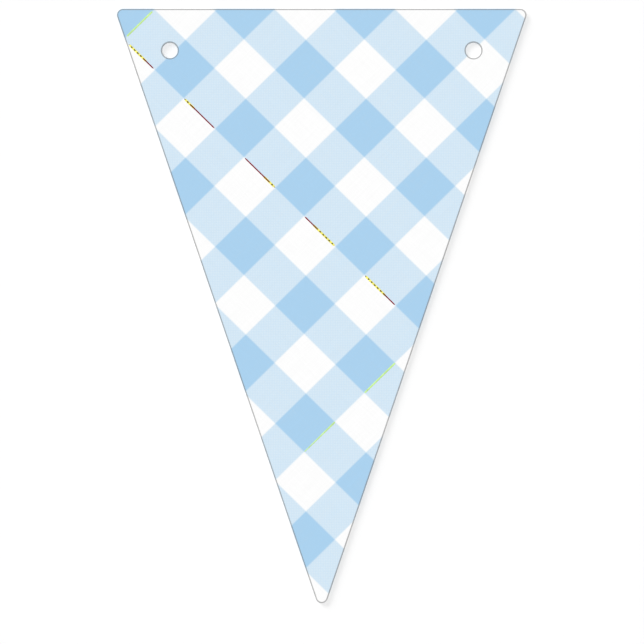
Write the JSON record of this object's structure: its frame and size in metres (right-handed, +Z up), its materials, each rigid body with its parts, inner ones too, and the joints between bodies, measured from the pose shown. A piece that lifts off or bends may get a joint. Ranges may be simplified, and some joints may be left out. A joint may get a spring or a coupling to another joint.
{
  "type": "gingham bunting flag",
  "caption": "Flat triangular bunting flag of blue and white gingham cloth, cut on the bias, with rounded corners and a round cord hole near each upper corner.",
  "frame": {"origin": "under the middle of the flag's box, on the surface it lies on", "axes": "+X to the right across the flag's straight top edge, +Y from the point towards the top edge, +Z up out of the cloth's face"},
  "size_m": [0.155, 0.225, 0.001],
  "materials": {
    "gingham_cloth": "matt yarn-dyed cotton gingham, light blue and white, checks on the bias, sealed die-cut edge"
  },
  "bodies": {
    "root": {"flag": "gingham_cloth"}
  },
  "joints": []
}
